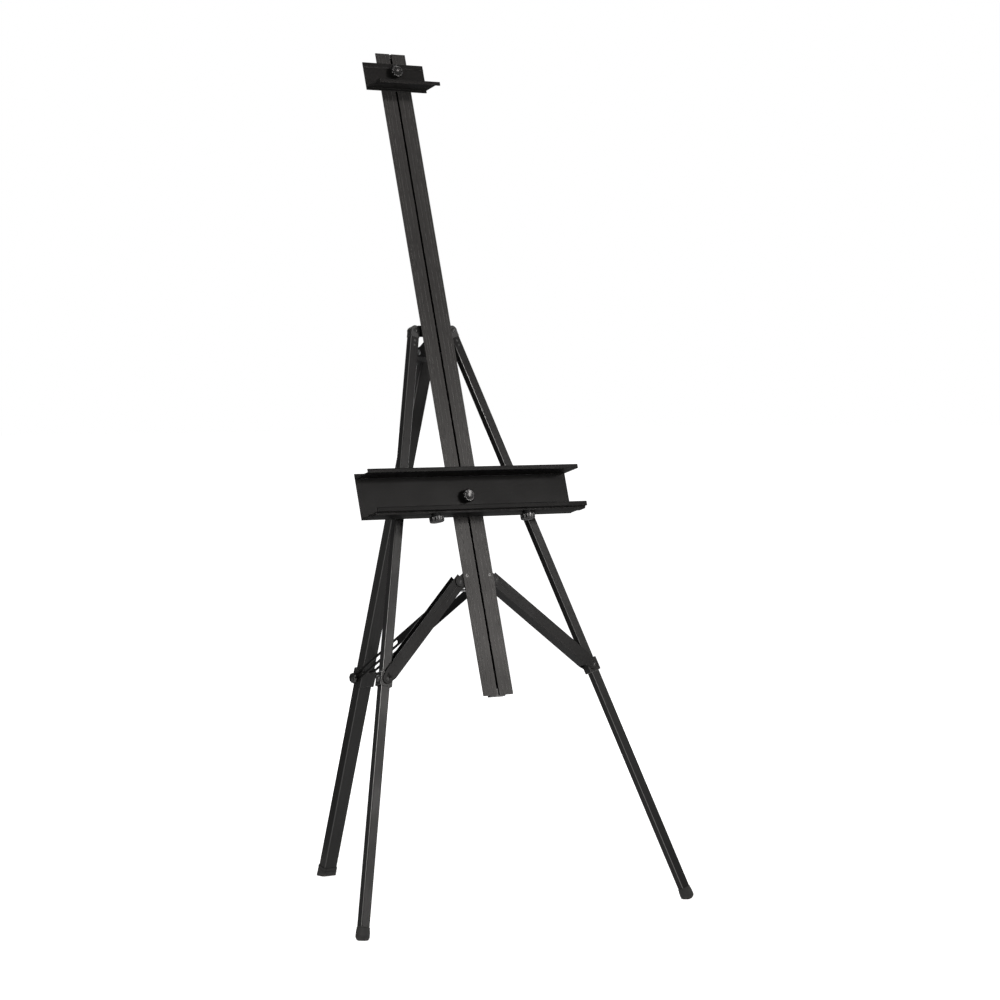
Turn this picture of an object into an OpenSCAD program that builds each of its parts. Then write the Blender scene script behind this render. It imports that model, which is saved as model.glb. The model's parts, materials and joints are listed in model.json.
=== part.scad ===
// Tripod field easel: a leaning slotted mast, two spread front legs, one rear leg,
// a sliding canvas tray with a pull-in ledge, and a sliding top holder.
// Millimetres, +Z up, origin at the middle of the footprint on the floor, front towards -Y.
//
// Most parts are drawn in the mast's own axes and then leant back:
//   X to the right, Y backwards from the mast's front face, Z along the mast from the floor line.

/* [Mast] */
// Lean of the mast from upright, degrees
lean = 15.8; // [10:0.1:20]
// Distance along the mast from the floor line to the mast's lower end
mast_low = 457; // [420:1:480]
// Distance along the mast from the floor line to the mast's upper end
mast_high = 1822; // [1800:1:1860]
// Width of the mast's front face
mast_w = 75.2; // [73:0.2:76]
// Thickness of the mast's front face
face_t = 2.2; // [2:0.1:2.3]
// Width of the slot in the front face
slot_w = 5.6; // [5.2:0.1:6]
// Outer width of the T-track box behind the face
box_w = 38; // [36:0.5:40]
// Depth of the mast, from the front face to the back of the box
box_back = 12; // [11.5:0.5:12.5]
// Wall thickness of the box
box_t = 1.8; // [1.5:0.1:2]

/* [Front legs] */
// Half the distance between the front leg pivots
leg_pivot_x = 47.4; // [46:0.2:50]
// Height of the front leg pivots along the mast
leg_pivot_s = 1224.5; // [1200:0.5:1240]
// Half the distance between the front feet
foot_x = 410; // [380:1:430]
// Depth of the legs' middle plane behind the mast's front face
leg_q = 16.4; // [16.4:0.1:17]
// Width of a front leg tube, seen from the front
leg_w = 20.4; // [19:0.2:20.6]
// Depth of a front leg tube
leg_d = 16; // [14:0.5:16]
// Wall thickness of the leg tubes
tube_t = 1.5; // [1.2:0.1:2]
// Radius of a front foot
foot_r = 14; // [13:0.5:15]

/* [Front braces] */
// Half the distance between the brace pivots
brace_pivot_x = 46; // [45:0.5:48]
// Height of the brace and stay pivots along the mast
brace_pivot_s = 694.5; // [680:0.5:710]
// Height along the mast at which a brace meets its leg
brace_meet_s = 507; // [490:1:530]
// Reach of a brace channel from its pivot line to its open outer edge
brace_out = 13.2; // [12:0.1:14]
// Reach of a brace channel from its pivot line to its closed inner edge
brace_in = 13.8; // [13.8:0.1:14.2]
// Sheet thickness of a brace channel
brace_t = 1.6; // [1.4:0.1:1.8]

/* [Rear leg] */
// Depth of the rear leg pivot behind the mast's front face
rear_q = 48.3; // [47:0.1:50]
// Height of the rear leg pivot along the mast
rear_s = 1188.7; // [1180:0.1:1195]
// Angle of the rear leg from the mast, degrees
rear_angle = 33.8; // [30:0.1:36]
// Width of the rear leg tube
rear_w = 32; // [28:0.5:32]
// Depth of the rear leg tube
rear_d = 24; // [20:0.5:24]
// Distance from the rear leg pivot down to the stay joint
stay_meet = 725; // [700:1:750]
// Depth of the stay pivot behind the mast's front face
stay_q = 30; // [29:0.5:30]
// Width of a stay bar
stay_w = 17.5; // [16:0.5:18]
// Thickness of a stay bar
stay_t = 3; // [2.5:0.1:3]

/* [Tray] */
// Width of the tray
tray_w = 533.4; // [400:0.2:600]
// Lower edge of the tray's back plate along the mast
tray_low = 827; // [815:0.5:827]
// Upper edge of the tray's back plate along the mast
tray_high = 922; // [920:0.1:925]
// Depth of the tray's upper shelf
shelf_n = 49.5; // [45:0.5:55]
// Reach of the ledge lip in front of the mast's face
ledge_n = 59.4; // [59:0.1:60]
// Half the distance between the ledge knobs
ledge_knob_x = 115.7; // [100:0.1:200]

/* [Top holder] */
// Width of the top holder
holder_w = 153; // [120:1:200]
// Lower edge of the holder's back plate along the mast
holder_low = 1739.5; // [1700:0.5:1745]
// Height of the holder's back plate
holder_h = 59.5; // [59:0.5:62]

/* [Knobs] */
// Radius of a clamp knob
knob_r = 14; // [12:0.5:15]
// Height of a clamp knob
knob_h = 12; // [10:0.5:14]
// Radius of a ledge knob
ledge_knob_r = 15.5; // [14:0.5:16]
// Height of a ledge knob
ledge_knob_h = 17.5; // [15:0.5:18]
// Radius of the rear lock knob
lock_knob_r = 11; // [10:0.5:12]
// Height of the rear lock knob
lock_knob_h = 10; // [9:0.5:10]

/* [Hidden] */
$fn = 48;
eps = 0.01;
big = 4000;

// clearances
run = 0.05;
seat = 0.02;
gap = 0.2;
slider_gap = 2.2;
rear_slider_gap = 2.6;

// layers from the mast's front face backwards
ear_front = face_t + 0.1;
ear_t = 2;
ear_r = 11;
brace_front = ear_front + ear_t + gap;
leg_front = leg_q - leg_d / 2;
leg_back = leg_q + leg_d / 2;

// front legs
foot_lift = 11;
foot_s = (foot_lift + leg_q * sin(lean)) / cos(lean);
leg_angle = atan((foot_x - leg_pivot_x) / (leg_pivot_s - foot_s));
leg_len = (leg_pivot_s - foot_s) / cos(leg_angle);
tube_r = 2;
tube_top = -14.5;
tube_low = -leg_len + 4;
knuckle_r = 10.8;
knuckle_plug = 26;
knuckle_rivet_z = [tube_top - 8, tube_top - 18];
strap_t = 2.6;
strap_h = 24;
strap_q = leg_q - strap_t / 2;
leg_pin_r = 3;
sole_r = 9;
sole_z = -4;
foot_top = 13.5;
foot_tilt = asin(sin(lean) * cos(leg_angle));
foot_reach = -sole_z * sin(foot_tilt) + (foot_r - sole_r) * cos(foot_tilt) + sole_r;

// front braces
brace_meet_x = leg_pivot_x + (leg_pivot_s - brace_meet_s) * tan(leg_angle);
brace_angle = atan((brace_meet_x - brace_pivot_x) / (brace_pivot_s - brace_meet_s));
brace_len = (brace_pivot_s - brace_meet_s) / cos(brace_angle);
brace_top = 9;
brace_pin_r = 2.5;
brace_end_r = 10.4;
web_stop = 17;
slider_h = 28;
slider_t = 1.8;
slider_in_w = leg_w + 2 * slider_gap;
slider_front = leg_front - gap - slider_t - leg_q;
slider_back = leg_back + gap + slider_t - leg_q;
brace_back = leg_q + slider_back + gap + brace_t;
lock_r = 2.5;

// rear leg
rear_len = (rear_s * cos(lean) - rear_q * sin(lean) - foot_lift) / cos(rear_angle - lean);
rear_tube_r = 3;
rear_tube_top = -16;
rear_tube_low = -rear_len + 2;
rear_plug = 32;
rear_rivet_z = [rear_tube_top - 9, rear_tube_top - 22];
rear_pin_r = 3;
rear_ear_t = 2.5;
rear_ear_x = rear_w / 2 + gap;
stay_pin_r = 3;
stay_x = rear_w / 2 + gap + 2.6 + gap;
stay_meet_s = rear_s - stay_meet * cos(rear_angle);
stay_meet_q = rear_q + stay_meet * sin(rear_angle);
stay_angle = atan2(stay_meet_q - stay_q, brace_pivot_s - stay_meet_s);
stay_len = norm([stay_meet_q - stay_q, brace_pivot_s - stay_meet_s]);
stay_slot_w = 8;
stay_slot_len = 157;
stay_slot_end = 14;
spacer_drop = 30;
spacer_r = 3;
rear_slider_h = 34;
rear_slider_d = rear_d + 2 * rear_slider_gap;
rear_wall = 2.4;
rear_stud_out = stay_x + stay_t + gap;
rear_stud_len = 7;

// footprint, which places the origin
rear_foot_w = 36;
rear_foot_d = 28;
rear_foot_top = 11;
front_y = foot_s * sin(lean) + leg_q * cos(lean) - foot_reach;
rear_axis_y = rear_s * sin(lean) + rear_q * cos(lean)
    + (rear_len + foot_lift / cos(rear_angle - lean)) * sin(rear_angle - lean);
rear_y = rear_axis_y + rear_foot_d / 2 / cos(rear_angle - lean);
origin_y = (front_y + rear_y) / 2;

// sliding parts on the mast
plate_gap = 0.15;
plate_t = 2.6;
bolt_r = 2.5;
tnut_t = 3;
tnut_h = 30;
tray_bolt_s = 869;
holder_bolt_s = 1780;
washer_t = 1;
washer_r = 8;
knob_base_n = plate_gap + plate_t + washer_t + 0.1;
knob_front_n = knob_base_n + knob_h;
insert_r = 4.5;
insert_part = 0.78;
stud_hole_r = bolt_r + run;
knob_flutes = 10;
lock_knob_flutes = 8;
shelf_s = 912;
floor_s = 827.6;
floor_t = 2.4;
floor_n = 51.5;
ledge_bolt_n = 46;
ledge_travel = 22;
ledge_t = 2.2;
ledge_s = floor_s + floor_t + 0.05;
rail_t = 2.2;
rail_s = floor_s - 0.05 - rail_t;
ledge_knob_s = rail_s - 0.1;

// screws and rivets through the mast
ear_screw_x = 29;
ear_screw_s = 705;
screw_r = 2;
screw_head_r = 3.6;
screw_sink = 1.6;
rivet_x = 11;
rivet_r = 2;
rivet_head_r = 4;
rivet_head_h = 1.6;
bracket_t = 2.4;
hub_rivet_s = leg_pivot_s;
rear_rivets_s = [rear_s - 12, rear_s + 12];
stay_rivets_s = [brace_pivot_s - 14, brace_pivot_s + 14];
rivet_rows = concat([hub_rivet_s], rear_rivets_s, stay_rivets_s);

black = [0.16, 0.16, 0.16];
face_grey = [0.30, 0.30, 0.29];
metal = [0.55, 0.55, 0.56];
plastic = [0.08, 0.08, 0.08];
rubber = [0.05, 0.05, 0.05];

// ---------- placing helpers ----------

// mast axes to the room's axes
module leant() {
    translate([0, -origin_y, 0])
        rotate([-lean, 0, 0])
            children();
}

// left (side -1) or right (side 1) front leg: origin on the pivot, -Z down the leg
module on_leg(side) {
    leant()
        translate([side * leg_pivot_x, leg_q, leg_pivot_s])
            rotate([0, -side * leg_angle, 0])
                children();
}

// front brace: origin on its pivot at the mast's face, -Z down the brace
module on_brace(side) {
    leant()
        translate([side * brace_pivot_x, 0, brace_pivot_s])
            rotate([0, -side * brace_angle, 0])
                children();
}

// slider: origin on the leg's middle line where the brace meets it
module on_slider(side) {
    leant()
        translate([side * brace_meet_x, leg_q, brace_meet_s])
            rotate([0, -side * leg_angle, 0])
                children();
}

// rear leg: origin on its pivot, -Z down the leg
module on_rear_leg() {
    leant()
        translate([0, rear_q, rear_s])
            rotate([rear_angle, 0, 0])
                children();
}

// rear slider: origin on the rear leg's middle line at the stay joint
module on_rear_slider() {
    on_rear_leg()
        translate([0, 0, -stay_meet])
            children();
}

// rear stay: origin on its pivot, -Z down the stay
module on_stay() {
    leant()
        translate([0, stay_q, brace_pivot_s])
            rotate([stay_angle, 0, 0])
                children();
}

// ---------- shapes that repeat ----------

// rectangle with round corners, centred
module round_rect(w, h, r) {
    square([w - 2 * r, h], center = true);
    square([w, h - 2 * r], center = true);
    for (x = [-1, 1], y = [-1, 1])
        translate([x * (w / 2 - r), y * (h / 2 - r)])
            circle(r);
}

// rectangular tube from z1 up to z2
module tube(w, d, r, t, z1, z2) {
    translate([0, 0, z1])
        linear_extrude(z2 - z1)
            difference() {
                round_rect(w, d, r);
                round_rect(w - 2 * t, d - 2 * t, r - t / 2);
            }
}

// cylinder along Y from y1 to y2
module rod_y(r, y1, y2) {
    translate([0, y1, 0])
        rotate([-90, 0, 0])
            cylinder(r = r, h = y2 - y1);
}

// cylinder along X from x1 to x2
module rod_x(r, x1, x2) {
    translate([x1, 0, 0])
        rotate([0, 90, 0])
            cylinder(r = r, h = x2 - x1);
}

// low domed rivet or screw head along -Y, its flat side at y = 0
module head_y(r, h) {
    rotate([90, 0, 0])
        rotate_extrude()
            intersection() {
                translate([0, h - (r * r + h * h) / (2 * h)])
                    circle((r * r + h * h) / (2 * h), $fn = 96);
                square([r, h]);
            }
}

// fluted clamp knob along +Z with a blind hole for its insert
module knob_shape(r, h, flutes, hole_r) {
    flute_r = r * 0.2;
    difference() {
        union() {
            cylinder(r = r * 0.62, h = h * 0.3);
            translate([0, 0, h * 0.22])
                cylinder(r1 = r * 0.92, r2 = r, h = h * 0.1);
            translate([0, 0, h * 0.32 - eps])
                cylinder(r = r, h = h * 0.55);
            translate([0, 0, h * 0.87 - 2 * eps])
                cylinder(r1 = r, r2 = r * 0.86, h = h * 0.13);
        }
        for (i = [0 : flutes - 1])
            rotate([0, 0, i * 360 / flutes])
                translate([r * 1.06, 0, h * 0.2])
                    cylinder(r = flute_r, h = h, $fn = 24);
        translate([0, 0, -eps])
            cylinder(r = hole_r + seat, h = h * 0.8);
    }
}

// knurled metal bush inside a knob, with a clear hole for its stud
module insert_shape(r, h, hole_r) {
    difference() {
        cylinder(r = r, h = h);
        translate([0, 0, -eps])
            cylinder(r = hole_r, h = h + 2 * eps);
    }
}

// bolt with a T head inside the track: head behind the face, shank forwards
module track_bolt(s, reach) {
    translate([0, 0, s]) {
        translate([-14, face_t + 0.15, -tnut_h / 2])
            cube([28, tnut_t, tnut_h]);
        rod_y(bolt_r, -reach, face_t + 0.15 + eps);
    }
}

// ---------- mast assembly ----------

module mast_channel() {
    groove_d = 0.4;
    groove_w = 0.8;
    color(face_grey)
        leant()
            difference() {
                translate([0, 0, mast_low])
                    linear_extrude(mast_high - mast_low)
                        difference() {
                            union() {
                                translate([-mast_w / 2, 0])
                                    square([mast_w, face_t]);
                                translate([-box_w / 2, 0])
                                    square([box_w, box_back]);
                            }
                            translate([-box_w / 2 + box_t, face_t])
                                square([box_w - 2 * box_t, box_back - face_t - box_t]);
                            translate([-slot_w / 2, -1])
                                square([slot_w, face_t + 2]);
                            for (x = [-31, -24, -13, 13, 24, 31])
                                translate([x - groove_w / 2, -eps])
                                    square([groove_w, groove_d]);
                        }
                // holes for the ear screws, the rivets of the hub and of both rear brackets
                for (side = [-1, 1])
                    translate([side * ear_screw_x, 0, ear_screw_s]) {
                        rod_y(screw_r + seat, -1, face_t + 1);
                        rotate([-90, 0, 0])
                            translate([0, 0, -eps])
                                cylinder(r1 = screw_head_r, r2 = screw_r, h = screw_sink);
                    }
                for (s = rivet_rows, side = [-1, 1])
                    translate([side * rivet_x, 0, s])
                        rod_y(rivet_r + seat, box_back - box_t - 1, box_back + 1);
            }
}

// plug inside the T-track, notched for the slot
module track_plug(s1, s2) {
    fit = 0.1;
    inner_w = box_w - 2 * box_t - 2 * fit;
    inner_d = box_back - face_t - box_t - 2 * fit;
    translate([-inner_w / 2, face_t + fit, s1])
        cube([inner_w, inner_d, s2 - s1]);
}

module mast_top_plug() {
    color(plastic)
        leant()
            track_plug(mast_high - 10, mast_high - 0.5);
}

module mast_bottom_plug() {
    color(plastic)
        leant() {
            track_plug(mast_low - 0.5, mast_low + 14);
            translate([-box_w / 2, face_t, mast_low - 2])
                cube([box_w, box_back - face_t, 1.95]);
        }
}

module hub_strap() {
    color(black)
        leant()
            translate([0, strap_q + strap_t, leg_pivot_s])
                rotate([90, 0, 0])
                    linear_extrude(strap_t)
                        difference() {
                            union() {
                                square([2 * (leg_pivot_x - knuckle_r - 2), strap_h],
                                    center = true);
                                square([2 * leg_pivot_x, 14], center = true);
                                for (side = [-1, 1])
                                    translate([side * leg_pivot_x, 0])
                                        circle(7);
                            }
                            for (side = [-1, 1])
                                translate([side * leg_pivot_x, 0])
                                    circle(leg_pin_r + seat);
                            for (side = [-1, 1])
                                translate([side * rivet_x, 0])
                                    circle(rivet_r + seat);
                        }
}

module hub_spacers() {
    color(metal)
        leant()
            for (side = [-1, 1])
                translate([side * rivet_x, 0, leg_pivot_s])
                    difference() {
                        rod_y(6, box_back, strap_q);
                        rod_y(rivet_r + seat, box_back - 1, strap_q + 1);
                    }
}

// one blind rivet: shank from the inside of the box to a domed head at the back
module blind_rivet(x, s, back) {
    translate([x, 0, s]) {
        rod_y(rivet_r, box_back - box_t - 0.6, back + eps);
        rod_y(3, box_back - box_t - 1.2, box_back - box_t);
        translate([0, back, 0])
            mirror([0, 1, 0])
                head_y(rivet_head_r, rivet_head_h);
    }
}

module hub_rivets() {
    color(metal)
        leant()
            for (side = [-1, 1])
                blind_rivet(side * rivet_x, hub_rivet_s, strap_q + strap_t);
}

// U bracket on the back of the mast's box with two ears for a cross pin
module two_ear_bracket(pin_s, pin_q, pin_r, end_r, rows, half_h) {
    difference() {
        union() {
            translate([-rear_ear_x - rear_ear_t, box_back, pin_s - half_h])
                cube([2 * (rear_ear_x + rear_ear_t), bracket_t, 2 * half_h]);
            for (side = [-1, 1])
                translate([side * (rear_ear_x + rear_ear_t / 2), 0, 0])
                    rotate([0, 0, 90])
                        rotate([90, 0, 0])
                            translate([0, 0, -rear_ear_t / 2])
                                linear_extrude(rear_ear_t)
                                    ear_outline(pin_s, pin_q, end_r, half_h);
        }
        translate([0, pin_q, pin_s])
            rod_x(pin_r + seat, -rear_ear_x - rear_ear_t - 1, rear_ear_x + rear_ear_t + 1);
        for (s = rows, side = [-1, 1])
            translate([side * rivet_x, 0, s])
                rod_y(rivet_r + seat, box_back - 1, box_back + bracket_t + 1);
    }
}

// side outline of an ear: wide at the mast, narrowing to a round end about the pin
module ear_outline(pin_s, pin_q, end_r, half_h) {
    translate([pin_q, pin_s])
        circle(end_r);
    polygon([
        [box_back, pin_s - half_h],
        [box_back + 4, pin_s - half_h],
        [pin_q, pin_s - end_r],
        [pin_q, pin_s + end_r],
        [box_back + 4, pin_s + half_h],
        [box_back, pin_s + half_h]
    ]);
}

module rear_leg_bracket() {
    color(black)
        leant()
            two_ear_bracket(rear_s, rear_q, rear_pin_r, 9, rear_rivets_s, 20);
}

module rear_bracket_rivets() {
    color(metal)
        leant()
            for (s = rear_rivets_s, side = [-1, 1])
                blind_rivet(side * rivet_x, s, box_back + bracket_t);
}

module stay_bracket() {
    color(black)
        leant()
            two_ear_bracket(brace_pivot_s, stay_q, stay_pin_r, 7.5, stay_rivets_s, 22);
}

module stay_bracket_rivets() {
    color(metal)
        leant()
            for (s = stay_rivets_s, side = [-1, 1])
                blind_rivet(side * rivet_x, s, box_back + bracket_t);
}

module brace_ears() {
    color(black)
        leant()
            for (side = [-1, 1])
                translate([0, ear_front + ear_t, 0])
                    rotate([90, 0, 0])
                        linear_extrude(ear_t)
                            difference() {
                                union() {
                                    translate([side * brace_pivot_x, brace_pivot_s])
                                        circle(ear_r);
                                    polygon([
                                        [side * (box_w / 2 + 0.3), brace_pivot_s - ear_r],
                                        [side * brace_pivot_x, brace_pivot_s - ear_r],
                                        [side * brace_pivot_x, brace_pivot_s + ear_r],
                                        [side * 36, brace_pivot_s + ear_r + 6],
                                        [side * (box_w / 2 + 0.3), brace_pivot_s + ear_r + 6]
                                    ]);
                                }
                                translate([side * brace_pivot_x, brace_pivot_s])
                                    circle(brace_pin_r + seat);
                                translate([side * ear_screw_x, ear_screw_s])
                                    circle(screw_r + seat);
                            }
}

module ear_screws() {
    color(metal)
        leant()
            for (side = [-1, 1])
                translate([side * ear_screw_x, 0, ear_screw_s])
                    difference() {
                        union() {
                            rod_y(screw_r, 0.2, ear_front + ear_t + 1.5);
                            rotate([-90, 0, 0])
                                cylinder(r1 = screw_head_r - 0.15, r2 = screw_r - 0.15,
                                    h = screw_sink);
                        }
                        rotate([-90, 0, 0])
                            cylinder(r = 1.2, h = 0.9, $fn = 6);
                    }
}

module leg_pivot_pins() {
    color(metal)
        leant()
            for (side = [-1, 1])
                translate([side * leg_pivot_x, 0, leg_pivot_s]) {
                    rod_y(leg_pin_r, leg_front - 1, leg_back + 1);
                    translate([0, leg_front - gap, 0])
                        head_y(5.5, 1.8);
                    translate([0, leg_back + gap, 0])
                        mirror([0, 1, 0])
                            head_y(5.5, 1.8);
                }
}

// plain pin along X with a domed head at each end
module cross_pin(r, half, head_r, head_h) {
    rod_x(r, -half - eps, half + eps);
    for (side = [-1, 1])
        translate([side * half, 0, 0])
            rotate([0, 0, side * 90])
                head_y(head_r, head_h);
}

module rear_pivot_pin() {
    color(metal)
        leant()
            translate([0, rear_q, rear_s])
                cross_pin(rear_pin_r, rear_ear_x + rear_ear_t + run, 6, 2);
}

module brace_pivot_pins() {
    color(metal)
        leant()
            for (side = [-1, 1])
                translate([side * brace_pivot_x, 0, brace_pivot_s]) {
                    rod_y(brace_pin_r, ear_front - 0.2, brace_front + brace_t + 0.4);
                    translate([0, ear_front, 0])
                        head_y(5, 1.4);
                    rod_y(4.5, brace_front + brace_t + gap, brace_front + brace_t + gap + 1.6);
                }
}

module stay_pivot_pin() {
    color(metal)
        leant()
            translate([0, stay_q, brace_pivot_s])
                cross_pin(stay_pin_r, stay_x + stay_t + gap, 6, 2);
}

// ---------- top holder ----------

// side profile of the holder: Y is forwards from the mast, drawn for a Z extrusion along X
module holder_profile() {
    flange_s = 4.8;
    flange_t = 2.4;
    lip_drop = 8;
    reach = 52;
    line_drop = 10.4;
    translate([plate_gap, 0])
        square([plate_t, holder_h]);
    translate([plate_gap, flange_s])
        square([reach - plate_gap - 1, flange_t]);
    translate([reach - flange_t, flange_s - lip_drop + flange_t])
        square([flange_t, lip_drop - 1]);
    translate([reach - flange_t / 2, flange_s + flange_t / 2])
        circle(flange_t / 2, $fn = 24);
    translate([plate_gap + plate_t - eps, holder_h - line_drop])
        square([0.8, 1.2]);
}

// extrudes a side profile across the mast: profile X is forwards, profile Y is along the mast
module across(w) {
    translate([-w / 2, 0, 0])
        rotate([90, 0, -90])
            translate([0, 0, -w])
                linear_extrude(w)
                    children();
}

module holder_plate() {
    color(black)
        leant()
            difference() {
                translate([0, 0, holder_low])
                    across(holder_w)
                        holder_profile();
                translate([0, 0, holder_bolt_s])
                    rod_y(bolt_r + 0.1, -plate_t - 1, 1);
            }
}

module holder_bolt() {
    color(metal)
        leant()
            track_bolt(holder_bolt_s, knob_front_n - 3);
}

// round washer lying on a back plate
module plate_washer(s) {
    translate([0, -plate_gap - plate_t - washer_t, s])
        difference() {
            rod_y(washer_r, 0, washer_t);
            rod_y(bolt_r + 0.1, -1, washer_t + 1);
        }
}

module holder_washer() {
    color(metal)
        leant()
            plate_washer(holder_bolt_s);
}

// puts a knob on the front of the mast at distance s, its foot towards the mast
module mast_knob_at(s) {
    leant()
        translate([0, -knob_base_n, s])
            rotate([90, 0, 0])
                children();
}

module holder_knob() {
    color(plastic)
        mast_knob_at(holder_bolt_s)
            knob_shape(knob_r, knob_h, knob_flutes, insert_r);
}

module holder_knob_insert() {
    color(metal)
        mast_knob_at(holder_bolt_s)
            insert_shape(insert_r, knob_h * insert_part, stud_hole_r);
}

// ---------- tray ----------

module tray_profile() {
    shelf = shelf_s - tray_low;
    lip_h = 7.8;
    translate([plate_gap, 0])
        square([plate_t, tray_high - tray_low]);
    translate([plate_gap, shelf])
        square([shelf_n - plate_gap - 1, floor_t]);
    translate([shelf_n - floor_t, shelf + 1])
        square([floor_t, lip_h - 1]);
    translate([shelf_n - floor_t / 2, shelf + lip_h])
        circle(floor_t / 2, $fn = 24);
    translate([shelf_n - floor_t / 2, shelf + floor_t / 2])
        circle(floor_t / 2, $fn = 24);
    translate([plate_gap, floor_s - tray_low])
        square([floor_n - plate_gap, floor_t]);
}

module tray_extrusion() {
    color(black)
        leant()
            difference() {
                translate([0, 0, tray_low])
                    across(tray_w)
                        tray_profile();
                translate([0, 0, tray_bolt_s])
                    rod_y(bolt_r + 0.1, -plate_t - 1, 1);
                for (side = [-1, 1])
                    translate([side * ledge_knob_x, -ledge_bolt_n, floor_s - 1])
                        linear_extrude(5) {
                            circle(bolt_r + 0.3);
                            translate([-bolt_r - 0.3, 0])
                                square([2 * bolt_r + 0.6, ledge_travel]);
                            translate([0, ledge_travel])
                                circle(bolt_r + 0.3);
                        }
            }
}

module tray_bolt() {
    color(metal)
        leant()
            track_bolt(tray_bolt_s, knob_front_n - 3);
}

module tray_washer() {
    color(metal)
        leant()
            plate_washer(tray_bolt_s);
}

module tray_knob() {
    color(plastic)
        mast_knob_at(tray_bolt_s)
            knob_shape(knob_r, knob_h, knob_flutes, insert_r);
}

module tray_knob_insert() {
    color(metal)
        mast_knob_at(tray_bolt_s)
            insert_shape(insert_r, knob_h * insert_part, stud_hole_r);
}

module ledge_lip() {
    lip_h = 9.5;
    color(black)
        leant()
            difference() {
                translate([0, 0, ledge_s])
                    across(tray_w - 2) {
                        translate([26, 0])
                            square([ledge_n - 27, ledge_t]);
                        translate([ledge_n - ledge_t, 1])
                            square([ledge_t, lip_h - 2]);
                        translate([ledge_n - ledge_t / 2, lip_h - 1])
                            circle(ledge_t / 2, $fn = 24);
                        translate([ledge_n - 1.1, 1.1])
                            circle(1.1, $fn = 24);
                    }
                for (side = [-1, 1])
                    translate([side * ledge_knob_x, -ledge_bolt_n, ledge_s - 1])
                        cylinder(r = bolt_r + seat, h = ledge_t + 2);
            }
}

module ledge_clamp_rail() {
    rail_n = 31.5;
    color(black)
        leant()
            difference() {
                translate([0, 0, rail_s])
                    across(tray_w - 2)
                        translate([rail_n, 0])
                            square([floor_n - rail_n, rail_t]);
                for (side = [-1, 1])
                    translate([side * ledge_knob_x, -ledge_bolt_n, rail_s - 1])
                        cylinder(r = bolt_r + seat, h = rail_t + 2);
            }
}

module ledge_bolts() {
    low = ledge_knob_s - ledge_knob_h + 5;
    long = ledge_s + ledge_t - low;
    color(metal)
        leant()
            for (side = [-1, 1])
                translate([side * ledge_knob_x, -ledge_bolt_n, low]) {
                    cylinder(r = bolt_r, h = long + eps);
                    translate([0, 0, long])
                        rotate([-90, 0, 0])
                            head_y(5.5, 2);
                }
}

// puts a knob under the lower shelf, its foot upwards
module ledge_knob_at(side) {
    leant()
        translate([side * ledge_knob_x, -ledge_bolt_n, ledge_knob_s])
            rotate([180, 0, 0])
                children();
}

module ledge_knob_left() {
    color(plastic)
        ledge_knob_at(-1)
            knob_shape(ledge_knob_r, ledge_knob_h, knob_flutes, insert_r);
}

module ledge_knob_right() {
    color(plastic)
        ledge_knob_at(1)
            knob_shape(ledge_knob_r, ledge_knob_h, knob_flutes, insert_r);
}

module ledge_insert_left() {
    color(metal)
        ledge_knob_at(-1)
            insert_shape(insert_r, ledge_knob_h * insert_part, stud_hole_r);
}

module ledge_insert_right() {
    color(metal)
        ledge_knob_at(1)
            insert_shape(insert_r, ledge_knob_h * insert_part, stud_hole_r);
}

// ---------- front legs ----------

module leg_tube(side) {
    color(black)
        on_leg(side)
            difference() {
                tube(leg_w, leg_d, tube_r, tube_t, tube_low, tube_top);
                for (z = knuckle_rivet_z)
                    translate([0, 0, z])
                        rod_y(rivet_r + seat, -leg_d, leg_d);
            }
}

// slotted head about the pivot, with a plug that fills the tube's top
module leg_knuckle(side) {
    slot_half = strap_t / 2 + gap;
    color(plastic)
        on_leg(side)
            difference() {
                union() {
                    rod_y(knuckle_r, -leg_d / 2, leg_d / 2);
                    translate([-leg_w / 2, -leg_d / 2, tube_top])
                        cube([leg_w, leg_d, -tube_top]);
                    translate([0, 0, tube_top - knuckle_plug])
                        linear_extrude(knuckle_plug + 1)
                            round_rect(leg_w - 2 * tube_t - 0.1, leg_d - 2 * tube_t - 0.1, tube_r);
                }
                rod_y(leg_pin_r + run, -leg_d, leg_d);
                translate([-big / 2, -slot_half, -strap_h / 2 + 0.2])
                    cube([big, 2 * slot_half, big]);
                for (z = knuckle_rivet_z)
                    translate([0, 0, z])
                        rod_y(rivet_r + seat, -leg_d, leg_d);
            }
}

module knuckle_rivets(side) {
    color(metal)
        on_leg(side)
            for (z = knuckle_rivet_z)
                translate([0, 0, z]) {
                    rod_y(rivet_r, -leg_d / 2 - eps, leg_d / 2 + eps);
                    translate([0, leg_d / 2, 0])
                        mirror([0, 1, 0])
                            head_y(3.4, 1.1);
                }
}

// rubber tip: socket, straight side and rounded sole, cut level with the floor
module foot_shape(side) {
    intersection() {
        on_leg(side)
            translate([0, 0, -leg_len])
                difference() {
                    rotate_extrude($fn = 72)
                        union() {
                            intersection() {
                                translate([foot_r - sole_r, sole_z])
                                    circle(sole_r, $fn = 96);
                                translate([0, sole_z - sole_r])
                                    square([foot_r, 2 * sole_r]);
                            }
                            translate([0, sole_z - sole_r])
                                square([foot_r - sole_r, sole_r + 1]);
                            polygon([
                                [0, sole_z], [foot_r, sole_z], [foot_r, 3],
                                [foot_r - 0.8, foot_top], [0, foot_top]
                            ]);
                        }
                    translate([0, 0, 4])
                        linear_extrude(foot_top)
                            round_rect(leg_w + 0.1, leg_d + 0.1, tube_r);
                }
        translate([-big / 2, -big / 2, 0])
            cube([big, big, big]);
    }
}

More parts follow.
